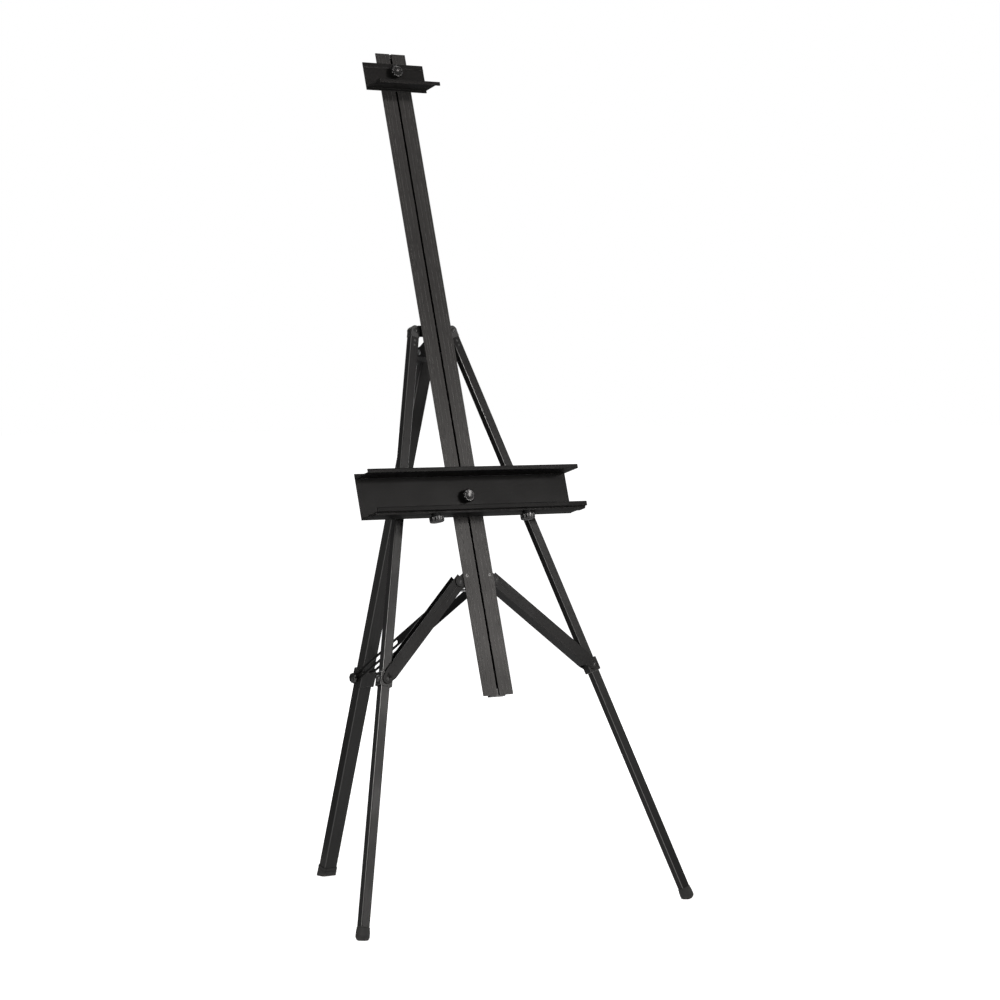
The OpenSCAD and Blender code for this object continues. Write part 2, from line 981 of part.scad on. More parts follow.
module left_leg_tube() { leg_tube(-1); }
module right_leg_tube() { leg_tube(1); }
module left_leg_knuckle() { leg_knuckle(-1); }
module right_leg_knuckle() { leg_knuckle(1); }
module left_knuckle_rivets() { knuckle_rivets(-1); }
module right_knuckle_rivets() { knuckle_rivets(1); }
module left_foot() { color(rubber) foot_shape(-1); }
module right_foot() { color(rubber) foot_shape(1); }

// ---------- front braces ----------

// outline of a brace's front and back plates, its lower end round about the slider's rivet
module brace_outline() {
    taper = 16;
    polygon([
        [-brace_in, brace_top], [brace_out, brace_top],
        [brace_out, -brace_len + taper], [brace_end_r, -brace_len],
        [-brace_end_r, -brace_len], [-brace_in, -brace_len + taper]
    ]);
    translate([0, -brace_len])
        circle(brace_end_r);
}

// channel with its closed edge towards the mast; the folded leg lies between its plates
module brace_shape(side) {
    color(black)
        on_brace(side)
            mirror([side < 0 ? 1 : 0, 0, 0])
                difference() {
                    union() {
                        for (back = [brace_front + brace_t, brace_back])
                            translate([0, back, 0])
                                rotate([90, 0, 0])
                                    linear_extrude(brace_t)
                                        brace_outline();
                        translate([-brace_in, brace_front, -brace_len + web_stop])
                            cube([
                                brace_t,
                                brace_back - brace_front,
                                brace_len - web_stop + brace_top
                            ]);
                    }
                    rod_y(brace_pin_r + run, brace_front - 1, brace_front + brace_t + 1);
                    translate([0, 0, -brace_len])
                        rod_y(brace_pin_r + run, brace_front - 1, brace_back + 1);
                }
}

module left_brace() { brace_shape(-1); }
module right_brace() { brace_shape(1); }

module slider_shape(side) {
    outer_w = slider_in_w + 2 * slider_t;
    color(black)
        on_slider(side)
            difference() {
                translate([-outer_w / 2, slider_front, -slider_h / 2])
                    cube([outer_w, slider_back - slider_front, slider_h]);
                translate([-slider_in_w / 2, -leg_d / 2 - gap, -slider_h])
                    cube([slider_in_w, leg_d + 2 * gap, 2 * slider_h]);
                rod_y(brace_pin_r + seat, slider_front - 1, slider_back + 1);
                mirror([side < 0 ? 1 : 0, 0, 0])
                    rod_x(lock_r + seat, 0, outer_w);
            }
}

// one rivet in front and one behind, each through a plate of the brace and a wall of the slider
module slider_rivet_shape(side) {
    plate_front = brace_front - leg_q;
    plate_back = brace_back - leg_q;
    color(metal)
        on_slider(side) {
            rod_y(brace_pin_r, plate_front - 0.4, -leg_d / 2 - gap);
            translate([0, plate_front - gap, 0])
                head_y(4.2, 1.2);
            rod_y(brace_pin_r, leg_d / 2 + gap, plate_back + 0.4);
            translate([0, plate_back + gap, 0])
                mirror([0, 1, 0])
                    head_y(4.2, 1.2);
        }
}

// screw through the slider's outer wall, with a domed head outside
module lock_screw_shape(side) {
    outer = slider_in_w / 2 + slider_t;
    color(metal)
        on_slider(side)
            mirror([side < 0 ? 1 : 0, 0, 0]) {
                rod_x(lock_r, slider_in_w / 2, outer + eps);
                translate([outer, 0, 0])
                    rotate([0, 0, 90])
                        head_y(7, 4.5);
            }
}

module left_slider() { slider_shape(-1); }
module right_slider() { slider_shape(1); }
module left_slider_rivet() { slider_rivet_shape(-1); }
module right_slider_rivet() { slider_rivet_shape(1); }
module left_lock_screw() { lock_screw_shape(-1); }
module right_lock_screw() { lock_screw_shape(1); }

// ---------- rear leg ----------

module rear_leg_tube() {
    color(black)
        on_rear_leg()
            difference() {
                tube(rear_w, rear_d, rear_tube_r, tube_t, rear_tube_low, rear_tube_top);
                for (z = rear_rivet_z)
                    translate([0, 0, z])
                        rod_x(rivet_r + seat, -rear_w, rear_w);
            }
}

module rear_leg_knuckle() {
    head_r = rear_d / 2;
    color(plastic)
        on_rear_leg()
            difference() {
                union() {
                    rod_x(head_r, -rear_w / 2, rear_w / 2);
                    translate([-rear_w / 2, -head_r, rear_tube_top])
                        cube([rear_w, 2 * head_r, -rear_tube_top]);
                    translate([0, 0, rear_tube_top - rear_plug])
                        linear_extrude(rear_plug + 1)
                            round_rect(rear_w - 2 * tube_t - 0.1, rear_d - 2 * tube_t - 0.1,
                                rear_tube_r);
                }
                rod_x(rear_pin_r + run, -rear_w, rear_w);
                for (z = rear_rivet_z)
                    translate([0, 0, z])
                        rod_x(rivet_r + seat, -rear_w, rear_w);
            }
}

module rear_knuckle_rivets() {
    color(metal)
        on_rear_leg()
            for (z = rear_rivet_z)
                translate([0, 0, z])
                    rod_x(rivet_r, -rear_w / 2, rear_w / 2);
}

// wide rubber tip on the rear leg, cut level with the floor
module rear_foot() {
    color(rubber)
        intersection() {
            on_rear_leg()
                translate([0, 0, -rear_len])
                    difference() {
                        translate([0, 0, -30])
                            linear_extrude(30 + rear_foot_top)
                                round_rect(rear_foot_w, rear_foot_d, 6);
                        translate([0, 0, 2])
                            linear_extrude(rear_foot_top)
                                round_rect(rear_w + 0.1, rear_d + 0.1, rear_tube_r);
                    }
            translate([-big / 2, -big / 2, 0])
                cube([big, big, big]);
        }
}

// ---------- rear stay ----------

module stay_bars() {
    slot_low = -stay_len + stay_slot_end;
    color(black)
        on_stay()
            for (side = [-1, 1])
                translate([side * (stay_x + stay_t / 2) - stay_t / 2, 0, 0])
                    rotate([90, 0, 90])
                        linear_extrude(stay_t)
                            difference() {
                                union() {
                                    translate([-stay_w / 2, -stay_len])
                                        square([stay_w, stay_len]);
                                    circle(stay_w / 2);
                                    translate([0, -stay_len])
                                        circle(stay_w / 2);
                                }
                                circle(stay_pin_r + run);
                                translate([0, -stay_len])
                                    circle(stay_pin_r + run);
                                translate([-stay_slot_w / 2, slot_low])
                                    square([stay_slot_w, stay_slot_len]);
                                for (end = [slot_low, slot_low + stay_slot_len])
                                    translate([0, end])
                                        circle(stay_slot_w / 2);
                            }
}

module stay_spacer() {
    color(metal)
        on_stay()
            translate([0, 0, -spacer_drop])
                rod_x(spacer_r, -stay_x, stay_x);
}

// collar around the rear leg
module rear_slider() {
    half_x = rear_w / 2 + gap;
    color(black)
        on_rear_slider()
            difference() {
                translate([-half_x - rear_wall, -rear_slider_d / 2 - 2, -rear_slider_h / 2])
                    cube([2 * (half_x + rear_wall), rear_slider_d + 4, rear_slider_h]);
                translate([-half_x, -rear_slider_d / 2, -rear_slider_h])
                    cube([2 * half_x, rear_slider_d, 2 * rear_slider_h]);
                rod_x(stay_pin_r + seat, -half_x - rear_wall - 1, half_x + rear_wall + 1);
            }
}

// studs on both cheeks: the right one ends in a nut, the left one carries the lock knob
module rear_slider_bolt() {
    color(metal)
        on_rear_slider() {
            rod_x(stay_pin_r, rear_w / 2 + gap, rear_stud_out + 5);
            translate([rear_stud_out, 0, 0])
                rotate([0, 90, 0])
                    cylinder(r = 6, h = 4, $fn = 6);
            rod_x(stay_pin_r, -rear_stud_out - rear_stud_len, -rear_w / 2 - gap);
        }
}

module rear_lock_at() {
    on_rear_slider()
        translate([-rear_stud_out, 0, 0])
            rotate([0, -90, 0])
                children();
}

module rear_lock_knob() {
    color(plastic)
        rear_lock_at()
            knob_shape(lock_knob_r, lock_knob_h, lock_knob_flutes, insert_r);
}

module rear_lock_insert() {
    color(metal)
        rear_lock_at()
            insert_shape(insert_r, lock_knob_h * insert_part, stay_pin_r + run);
}

mast_channel();
mast_top_plug();
mast_bottom_plug();
hub_strap();
hub_spacers();
hub_rivets();
rear_leg_bracket();
rear_bracket_rivets();
brace_ears();
ear_screws();
stay_bracket();
stay_bracket_rivets();
leg_pivot_pins();
rear_pivot_pin();
brace_pivot_pins();
stay_pivot_pin();
holder_plate();
holder_bolt();
holder_washer();
holder_knob();
holder_knob_insert();
tray_extrusion();
tray_bolt();
tray_washer();
tray_knob();
tray_knob_insert();
ledge_lip();
ledge_clamp_rail();
ledge_bolts();
ledge_knob_left();
ledge_knob_right();
ledge_insert_left();
ledge_insert_right();
left_leg_tube();
left_leg_knuckle();
left_knuckle_rivets();
left_foot();
right_leg_tube();
right_leg_knuckle();
right_knuckle_rivets();
right_foot();
left_brace();
right_brace();
left_slider();
left_slider_rivet();
left_lock_screw();
right_slider();
right_slider_rivet();
right_lock_screw();
rear_leg_tube();
rear_leg_knuckle();
rear_knuckle_rivets();
rear_foot();
stay_bars();
stay_spacer();
rear_slider();
rear_slider_bolt();
rear_lock_knob();
rear_lock_insert();
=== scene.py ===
import json
import math

import bmesh
import bpy
from mathutils import Matrix, Vector


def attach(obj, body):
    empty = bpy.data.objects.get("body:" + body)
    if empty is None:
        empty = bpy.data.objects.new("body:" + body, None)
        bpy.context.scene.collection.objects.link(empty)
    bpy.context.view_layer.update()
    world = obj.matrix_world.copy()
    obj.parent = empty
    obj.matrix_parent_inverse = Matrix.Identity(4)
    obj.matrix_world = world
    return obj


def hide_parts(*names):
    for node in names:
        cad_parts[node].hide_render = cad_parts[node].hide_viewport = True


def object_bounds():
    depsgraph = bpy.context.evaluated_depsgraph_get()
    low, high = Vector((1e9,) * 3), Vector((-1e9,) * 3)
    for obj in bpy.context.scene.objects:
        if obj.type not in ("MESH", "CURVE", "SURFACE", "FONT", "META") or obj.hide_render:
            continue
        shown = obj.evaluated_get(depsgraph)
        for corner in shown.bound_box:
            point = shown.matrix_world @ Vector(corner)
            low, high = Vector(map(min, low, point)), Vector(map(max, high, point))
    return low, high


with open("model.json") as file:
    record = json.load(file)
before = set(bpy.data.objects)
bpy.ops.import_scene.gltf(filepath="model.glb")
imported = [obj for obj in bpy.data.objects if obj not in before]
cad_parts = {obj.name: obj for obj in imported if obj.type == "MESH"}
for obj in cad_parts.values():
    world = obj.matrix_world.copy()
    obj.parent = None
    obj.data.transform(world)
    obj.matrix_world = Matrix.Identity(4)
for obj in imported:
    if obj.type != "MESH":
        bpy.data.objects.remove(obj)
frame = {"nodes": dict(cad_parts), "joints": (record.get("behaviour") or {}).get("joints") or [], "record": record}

TAU = math.tau
# Most of a noise's values fall between these two.
NOISE_LOW, NOISE_HIGH = 0.3, 0.7
# On the flats of a tube, and half way round its corner, the larger share of its facing that
# lies along either flat.
FLAT_SHARE, ROUND_SHARE = 0.96, 0.80
# How much a tube's round corner gains in shine and is paled towards bare metal colour: a painted highlight.
CORNER_HIGHLIGHT_SHINE, CORNER_HIGHLIGHT_PALE = 1.2, 0.20
# How far painted shade darkens the inside of a channel, and the thickness left as it is.
INSIDE_SHADE, OUTER_SKIN = 0.9, 0.0009
# Edges that turn by more than this are softened by a bevel, after near points are welded.
SHARP = math.radians(42)
WELD = 0.00002
# Faces of a lofted piece that meet at more than this, in degrees, keep a crease.
KNOB_CREASE, FOOT_CREASE = 50, 35
# Points round a plain ring of a lofted piece, and steps in finding each point of a rounded one.
RING = 64
HALVINGS = 30

nodes = frame["nodes"]
joints = {j["name"]: j for j in frame["joints"]}
cad_low, cad_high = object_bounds()
slot_of = {part["node"]: part["material_slot"] for part in frame["record"]["subparts"]}


def place(joint):
    return Vector(joints[joint]["pos_m"])


def axis(joint):
    return Vector(joints[joint]["axis"]).normalized()


# The mast's own directions: along it upwards, out of its front face, and across.
ALONG = axis("tray_slide")
FRONT = axis("left_leg_fold")
ACROSS = Vector((1, 0, 0))

# Directions down each member, from one joint to the next on its middle line.
DOWN = {
    "left_leg": (place("left_slider_tilt") - place("left_leg_fold")).normalized(),
    "right_leg": (place("right_slider_tilt") - place("right_leg_fold")).normalized(),
    "rear_leg": (place("rear_slider_tilt") - place("rear_leg_fold")).normalized(),
    "stay": (place("rear_slider_tilt") - place("rear_stay_fold")).normalized(),
}
for side in ("left", "right"):
    run = place(side + "_slider_tilt") - place(side + "_brace_fold")
    DOWN[side + "_brace"] = (run - FRONT * run.dot(FRONT)).normalized()


# ---------------------------------------------------------------- materials

class Graph:
    """A small helper that builds one node material from nested calls."""

    def __init__(self, name):
        self.material = bpy.data.materials.new(name)
        self.material.use_nodes = True
        self.tree = self.material.node_tree
        self.tree.nodes.clear()
        self.output = self.tree.nodes.new("ShaderNodeOutputMaterial")
        places = self.add("ShaderNodeTexCoord").outputs
        self.position, self.facing = places["Object"], places["Normal"]

    def add(self, kind, inputs=None, **settings):
        node = self.tree.nodes.new(kind)
        for key, value in settings.items():
            setattr(node, key, value)
        for key, value in (inputs or {}).items():
            if isinstance(value, bpy.types.NodeSocket):
                self.tree.links.new(value, node.inputs[key])
            else:
                node.inputs[key].default_value = value
        return node

    def math(self, operation, a, b=0.0):
        return self.add("ShaderNodeMath", {0: a, 1: b}, operation=operation).outputs[0]

    def span(self, value, low, high, to_low=0.0, to_high=1.0):
        """A smooth step from one value to another, as the input goes from low to high."""
        node = self.add("ShaderNodeMapRange", {
            "Value": value, "From Min": low, "From Max": high,
            "To Min": to_low, "To Max": to_high,
        }, interpolation_type="SMOOTHSTEP")
        return node.outputs["Result"]

    def vary(self, noise, to_low, to_high):
        """A noise spread over a range of values."""
        return self.span(noise, NOISE_LOW, NOISE_HIGH, to_low, to_high)

    def dot(self, vector, scale, source=None):
        node = self.add("ShaderNodeVectorMath",
                        {0: source or self.position, 1: Vector(vector) * scale},
                        operation="DOT_PRODUCT")
        return node.outputs["Value"]

    def corner_highlight(self, flats):
        """1 on the round corners between the flat sides of a tube, 0 on the flats."""
        turned = [self.math("ABSOLUTE", self.dot(flat, 1.0, self.facing)) for flat in flats]
        return self.span(self.math("MAXIMUM", *turned), FLAT_SHARE, ROUND_SHARE)

    def within(self, node, ways, wall):
        """1 deeper than a wall's thickness inside a node's outline, 0 on its outer faces."""
        inside = 1.0
        for way in ways:
            reach = [v.co.dot(way) for v in nodes[node].data.vertices]
            middle, half = (max(reach) + min(reach)) / 2, (max(reach) - min(reach)) / 2
            off = self.math("ABSOLUTE", self.math("SUBTRACT", self.dot(way, 1.0), middle))
            inside = self.math("MULTIPLY", inside, self.math("LESS_THAN", off, half - wall))
        return inside

    def grained(self, along, across_scale, along_scale):
        """Object coordinates stretched along a direction, for drawn and brushed metal."""
        along = Vector(along).normalized()
        first = along.orthogonal().normalized()
        second = along.cross(first)
        node = self.add("ShaderNodeCombineXYZ", {
            0: self.dot(first, across_scale),
            1: self.dot(second, across_scale),
            2: self.dot(along, along_scale),
        })
        return node.outputs[0]

    def noise(self, vector, scale, detail, roughness):
        node = self.add("ShaderNodeTexNoise", {
            "Vector": vector, "Scale": scale, "Detail": detail, "Roughness": roughness})
        return node.outputs["Fac"]

    def mix(self, factor, a, b):
        node = self.add("ShaderNodeMix", data_type="RGBA")
        for key, value in ((0, factor), (6, a), (7, b)):
            if isinstance(value, bpy.types.NodeSocket):
                self.tree.links.new(value, node.inputs[key])
            else:
                node.inputs[key].default_value = value
        return node.outputs[2]

    def tint(self, colour, value):
        """A colour, or a colour socket, multiplied by a value socket."""
        if not isinstance(colour, bpy.types.NodeSocket):
            colour = colour[:3]
        node = self.add("ShaderNodeVectorMath", {0: colour, "Scale": value}, operation="SCALE")
        return node.outputs[0]

    def bump(self, height, distance, strength, normal=None):
        inputs = {"Height": height, "Distance": distance, "Strength": strength}
        if normal is not None:
            inputs["Normal"] = normal
        return self.add("ShaderNodeBump", inputs).outputs["Normal"]

    def worn(self, colour, radius, spread, amount, bare):
        """A colour worn through to a bare one along the edges, broken up by noise."""
        bevel = self.add("ShaderNodeBevel", {"Radius": radius}, samples=4).outputs["Normal"]
        geometry = self.add("ShaderNodeNewGeometry").outputs["Normal"]
        turned = self.add("ShaderNodeVectorMath", {0: bevel, 1: geometry}, operation="DOT_PRODUCT")
        edge = self.span(self.math("SUBTRACT", 1.0, turned.outputs["Value"]), 0.02, 0.25)
        patch = self.noise(self.position, scale=60.0, detail=4.0, roughness=0.6)
        patch = self.span(patch, spread, spread + 0.25)
        share = self.math("MULTIPLY", self.math("MULTIPLY", edge, patch), amount)
        return self.mix(share, colour, bare)

    def finish(self, **inputs):
        shader = self.add("ShaderNodeBsdfPrincipled", inputs)
        self.tree.links.new(shader.outputs[0], self.output.inputs["Surface"])
        return self.material


def rgb(value, warm=0.0):
    return (value * (1 + warm), value, value * (1 - warm), 1.0)


# What shows where a finish is worn or specked, and the pale colour of painted highlights.
PALE_ALUMINIUM = rgb(0.32, 0.02)
BARE_STEEL = rgb(0.28, 0.02)
SCUFFED_PLASTIC = rgb(0.10)
PALE_SPECK = rgb(0.30)
FLOOR_DUST = rgb(0.16, 0.06)


def anodised(name, along, base, warm=0.01, rough=0.34, wear=0.35, die_lines=0.5,
             specular=0.09, metallic=0.35, flats=None, highlight_strength=1.0, shaded_hollow=None):
    """Dyed satin anodised aluminium: drawn die lines, fine etch, cloudy colour, edges worn pale, which also makes
    a painted highlight.

    flats are the directions of a tube's flat sides, whose round corners get a painted highlight.
    hollow is a node whose inside gets painted shade.
    """
    g = Graph(name)
    streak = g.noise(g.grained(along, 1500, 14), scale=1.0, detail=3.0, roughness=0.6)
    lines = g.noise(g.grained(along, 420, 1.2), scale=1.0, detail=2.0, roughness=0.5)
    cloud = g.noise(g.position, scale=9.0, detail=3.0, roughness=0.55)
    etch = g.noise(g.position, scale=2600.0, detail=2.0, roughness=0.6)
    speck = g.span(g.noise(g.position, scale=700.0, detail=2.0, roughness=0.5), 0.72, 0.78)
    shade = g.math("ADD", g.span(streak, 0.25, 0.75, -0.10, 0.10), g.vary(lines, 0.92, 1.08))
    shade = g.math("MULTIPLY", shade, g.vary(cloud, 0.90, 1.10))
    colour = g.tint(rgb(base, warm), shade)
    colour = g.mix(g.math("MULTIPLY", speck, 0.10), colour, PALE_SPECK)
    # Edge wear to pale bare metal, which also stands in as a painted highlight along the edges.
    colour = g.worn(colour, radius=0.0007, spread=wear, amount=0.55, bare=PALE_ALUMINIUM)
    rough_value = g.math("ADD", g.vary(cloud, rough - 0.05, rough + 0.06),
                         g.vary(streak, -0.03, 0.03))
    # Painted highlight on a tube's round corners: shinier and paler there.
    if flats:
        highlight = g.math("MULTIPLY", g.corner_highlight(flats), highlight_strength)
        specular = g.math("ADD", specular, g.math("MULTIPLY", highlight, CORNER_HIGHLIGHT_SHINE))
        colour = g.mix(g.math("MULTIPLY", highlight, CORNER_HIGHLIGHT_PALE), colour, PALE_ALUMINIUM)
    # Painted shade inside the channel: colour and shine darkened deeper than the wall's thickness.
    if shaded_hollow:
        inside = g.within(shaded_hollow, (FRONT, ACROSS), OUTER_SKIN)
        shade_left = g.math("SUBTRACT", 1.0, g.math("MULTIPLY", inside, INSIDE_SHADE))
        colour = g.tint(colour, shade_left)
        specular = g.math("MULTIPLY", specular, shade_left)
    normal = g.bump(etch, distance=0.000015, strength=0.5)
    normal = g.bump(lines, distance=0.00005 * die_lines, strength=0.5, normal=normal)
    return g.finish(**{
        "Base Color": colour, "Metallic": metallic, "Roughness": rough_value, "Normal": normal,
        "Specular IOR Level": specular, "Coat Weight": 0.05, "Coat Roughness": 0.25,
    })


def painted(name, base, rough):
    """Black powder coat on stamped steel: fine orange peel, chipped edges."""
    g = Graph(name)
    peel = g.noise(g.position, scale=1100.0, detail=2.0, roughness=0.5)
    cloud = g.noise(g.position, scale=30.0, detail=3.0, roughness=0.5)
    colour = g.tint(rgb(base, 0.01), g.vary(cloud, 0.85, 1.15))
    colour = g.worn(colour, radius=0.0006, spread=0.5, amount=0.5, bare=BARE_STEEL)
    return g.finish(**{
        "Base Color": colour, "Metallic": 0.15,
        "Roughness": g.vary(cloud, rough - 0.05, rough + 0.07),
        "Normal": g.bump(peel, distance=0.00005, strength=0.4),
        "Coat Weight": 0.25, "Coat Roughness": 0.22,
    })


def plated(name, base, rough):
    """Zinc plated steel: fine turned grain and dull patches."""
    g = Graph(name)
    grain = g.noise(g.position, scale=1800.0, detail=3.0, roughness=0.6)
    cloud = g.noise(g.position, scale=120.0, detail=3.0, roughness=0.5)
    colour = g.tint(rgb(base, -0.01), g.vary(cloud, 0.80, 1.15))
    return g.finish(**{
        "Base Color": colour, "Metallic": 0.95,
        "Roughness": g.math("ADD", g.vary(cloud, rough - 0.06, rough + 0.1),
                            g.vary(grain, -0.04, 0.04)),
        "Normal": g.bump(grain, distance=0.00002, strength=0.5),
    })


def moulded(name, base, rough, texture, coat):
    """Injection moulded plastic: spark texture, soft flow marks, scuffed high spots."""
    g = Graph(name)
    spark = g.noise(g.position, scale=1400.0, detail=3.0, roughness=0.6)
    flow = g.noise(g.position, scale=45.0, detail=3.0, roughness=0.5)
    colour = g.tint(rgb(base), g.vary(flow, 0.8, 1.25))
    colour = g.worn(colour, radius=0.0008, spread=0.45, amount=0.35, bare=SCUFFED_PLASTIC)
    return g.finish(**{
        "Base Color": colour, "Metallic": 0.0,
        "Roughness": g.math("ADD", g.vary(flow, rough - 0.05, rough + 0.05),
                            g.vary(spark, -0.03, 0.03)),
        "Normal": g.bump(spark, distance=texture, strength=0.5),
        "Coat Weight": coat, "Coat Roughness": 0.12,
    })


def rubber_material(name):
    """Black rubber: matt, fine pores, floor dust on the lowest few millimetres."""
    g = Graph(name)
    pores = g.noise(g.position, scale=1900.0, detail=3.0, roughness=0.65)
    cloud = g.noise(g.position, scale=80.0, detail=4.0, roughness=0.6)
    colour = g.tint(rgb(0.020, 0.02), g.vary(cloud, 0.75, 1.35))
    height = g.add("ShaderNodeSeparateXYZ", {0: g.position}).outputs[2]
    dust = g.math("MULTIPLY", g.span(height, 0.009, 0.0), g.span(cloud, 0.35, 0.65))
    colour = g.mix(g.math("MULTIPLY", dust, 0.35), colour, FLOOR_DUST)
    return g.finish(**{
        "Base Color": colour, "Metallic": 0.0,
        "Roughness": g.vary(cloud, 0.55, 0.75),
        "Normal": g.bump(pores, distance=0.00006, strength=0.6),
        "Specular IOR Level": 0.4,
    })


# Brightness of the dyed metal: the mast's grey face and the black parts.
FACE = 0.034
BLACK = 0.008
MATERIALS = {
    "mast_face": anodised("mast_face", ALONG, FACE, warm=0.03, rough=0.38, wear=0.30,
                          die_lines=1.0, specular=0.17, shaded_hollow="mast_channel"),
    "alu_across": anodised("alu_across", ACROSS, 0.0055, warm=0.03, rough=0.36,
                           specular=0.065, metallic=0.12),
    "alu_holder": anodised("alu_holder", ACROSS, BLACK, warm=0.03, rough=0.36, metallic=0.12),
    # A darker, duller copy of the black metal for the ledge: painted shade.
    "alu_ledge_shaded": anodised("alu_ledge_shaded", ACROSS, 0.004, warm=0.03, specular=0.035, metallic=0.04),
    "alu_mast": anodised("alu_mast", ALONG, BLACK, rough=0.36, metallic=0.2),
    "steel": plated("steel", 0.38, rough=0.30),
    "dark_steel": painted("dark_steel", 0.03, rough=0.30),
    "knob_plastic": moulded("knob_plastic", 0.007, rough=0.24, texture=0.00002, coat=0.35),
    "fitting_plastic": moulded("fitting_plastic", 0.016, rough=0.38, texture=0.00005, coat=0.1),
    "rubber": rubber_material("rubber"),
}

# Base tone, shine and metallic share of each member: one black metal made lighter, darker or shinier member by
# member, as painted light and shade.
MEMBER_TONE = {
    "left_leg": (0.011, 0.17, 0.25), "right_leg": (0.011, 0.13, 0.25),
    "rear_leg": (0.026, 0.17, 0.35), "stay": (0.008, 0.08, 0.2),
    "left_brace": (0.0062, 0.05, 0.15), "right_brace": (0.008, 0.09, 0.2),
}
for member, direction in DOWN.items():
    lit_tone, shine, metal = MEMBER_TONE[member]
    sides = None
    if member.endswith("leg"):
        front = ACROSS if member == "rear_leg" else FRONT
        sides = (front, direction.cross(front).normalized())
    # Leg tubes get a painted highlight on their round corners, weaker on the rear leg.
    MATERIALS["alu_" + member] = anodised(
        "alu_" + member, direction, lit_tone, specular=shine, metallic=metal, flats=sides,
        highlight_strength=0.45 if member == "rear_leg" else 1.3)

# Which way the grain of each black aluminium node runs.
GRAIN = {
    "hub_strap": "alu_across", "holder_plate": "alu_holder", "tray_extrusion": "alu_across",
    "ledge_lip": "alu_ledge_shaded", "ledge_clamp_rail": "alu_ledge_shaded",
    "left_leg_tube": "alu_left_leg", "right_leg_tube": "alu_right_leg",
    "left_slider": "alu_left_leg", "right_slider": "alu_right_leg",
    "left_brace": "alu_left_brace", "right_brace": "alu_right_brace",
    "rear_leg_tube": "alu_rear_leg", "rear_slider": "alu_rear_leg",
    "stay_bars": "alu_stay",
}


def dress(obj, material):
    obj.data.materials.clear()
    obj.data.materials.append(MATERIALS[material])


for name, obj in nodes.items():
    slot = slot_of[name]
    dress(obj, GRAIN.get(name, "alu_mast") if slot == "black_alu" else slot)

# Small real radii, in metres, on the cut and stamped edges of the metal and moulded parts.
SOFTENED = {
    "tray_extrusion": 0.0004, "holder_plate": 0.0004, "ledge_lip": 0.0003,
    "ledge_clamp_rail": 0.0003, "left_brace": 0.0004, "right_brace": 0.0004,
    "stay_bars": 0.0005, "rear_slider": 0.0020, "left_slider": 0.0012, "right_slider": 0.0012,
    "brace_ears": 0.0004, "hub_strap": 0.0004, "rear_leg_bracket": 0.0005,
    "stay_bracket": 0.0005, "left_leg_knuckle": 0.0005, "right_leg_knuckle": 0.0005,
    "rear_leg_knuckle": 0.0006, "mast_bottom_plug": 0.0003,
    "rear_slider_bolt": 0.0002, "left_leg_tube": 0.0002, "right_leg_tube": 0.0002,
    "rear_leg_tube": 0.0002,
}


def soften(obj, width):
    bevel = obj.modifiers.new("edges", "BEVEL")
    bevel.width = width
    bevel.segments = 2
    bevel.limit_method = "ANGLE"
    bevel.angle_limit = SHARP
    bevel.use_clamp_overlap = True
    return bevel


for name, width in SOFTENED.items():
    weld = nodes[name].modifiers.new("weld", "WELD")
    weld.merge_threshold = WELD
    soften(nodes[name], width).harden_normals = True


# ---------------------------------------------------------------- mesh helpers

def basis(origin, up, side):
    """A matrix whose Z is up, whose X is as near to side as it can be."""
    z = Vector(up).normalized()
    x = (Vector(side) - z * Vector(side).dot(z)).normalized()
    y = z.cross(x)
    m = Matrix((x, y, z)).transposed().to_4x4()
    m.translation = Vector(origin)
    return m


def loft(bm, rings, matrix):
    """Skins a list of rings, each a list of points, and caps both ends with a fan."""
    made = [[bm.verts.new(matrix @ Vector(p)) for p in ring] for ring in rings]
    for low, high in zip(made, made[1:]):
        for i in range(len(low)):
            j = (i + 1) % len(low)
            bm.faces.new((low[i], low[j], high[j], high[i]))
    for ring, flip in ((made[0], True), (made[-1], False)):
        middle = bm.verts.new(sum((v.co for v in ring), Vector()) / len(ring))
        for i in range(len(ring)):
            pair = (ring[i], ring[(i + 1) % len(ring)])
            bm.faces.new((middle, *(reversed(pair) if flip else pair)))


def piece(name, bm, body, material, node, angle):
    """A finished mesh that rides on a body in place of a node; angle splits its smooth faces."""
    bmesh.ops.recalc_face_normals(bm, faces=bm.faces)
    mesh = bpy.data.meshes.new(name)
    bm.to_mesh(mesh)
    bm.free()
    for polygon in mesh.polygons:
        polygon.use_smooth = True
    mesh.set_sharp_from_angle(angle=math.radians(angle))
    obj = bpy.data.objects.new(name, mesh)
    bpy.context.scene.collection.objects.link(obj)
    dress(obj, material)
    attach(obj, body)
    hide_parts(node)
    return obj


def circle(r, z):
    angles = [TAU * i / RING for i in range(RING)]
    return [(r * math.cos(a), r * math.sin(a), z) for a in angles]


def rounded(w, d, r, z):
    """Ring round a rectangle with round corners, its points spread by angle."""
    points = []
    for i in range(RING):
        a = TAU * (i + 0.5) / RING
        dx, dy = math.cos(a), math.sin(a)
        low, high = 0.0, max(w, d)
        for _ in range(HALVINGS):
            t = (low + high) / 2
            x, y = abs(dx * t), abs(dy * t)
            ex, ey = max(x - (w / 2 - r), 0.0), max(y - (d / 2 - r), 0.0)
            if math.hypot(ex, ey) > r:
                high = t
            else:
                low = t
        points.append((dx * low, dy * low, z))
    return points


# ---------------------------------------------------------------- clamp knobs

